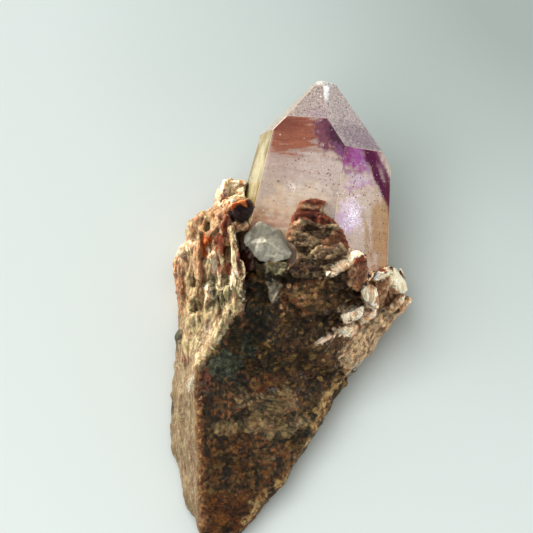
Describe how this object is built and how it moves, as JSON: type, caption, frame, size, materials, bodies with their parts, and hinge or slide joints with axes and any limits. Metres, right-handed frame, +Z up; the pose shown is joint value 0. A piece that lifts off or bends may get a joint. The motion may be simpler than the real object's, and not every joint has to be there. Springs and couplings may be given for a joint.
{
  "type": "amethyst crystal on feldspar rock matrix",
  "caption": "Six-sided amethyst point with clear, pink and purple zones, seated in a tapering wedge of pink granular feldspar rock with smaller quartz crystals at its foot.",
  "frame": {"origin": "middle of the specimen's bounding box, at the bottom, on the surface it lies on", "axes": "+Y along the specimen's length towards the crystal's tip, +Z up from its flat broken back, +X to the right as seen from above with the tip away"},
  "size_m": [0.0414, 0.0752, 0.0311],
  "materials": {
    "feldspar_rock": "rough broken granular rock, pink to cream feldspar with dark green-black and rust grains",
    "amethyst": "natural crystal faces, glassy with fine growth lines, hazy peach body with purple and red-brown zones",
    "milky_quartz": "translucent grey-white quartz",
    "yellow_quartz": "translucent pale yellow quartz"
  },
  "bodies": {
    "root": {"matrix": "feldspar_rock", "amethyst": "amethyst", "quartz_foot": "milky_quartz", "quartz_side": "yellow_quartz"}
  },
  "joints": []
}
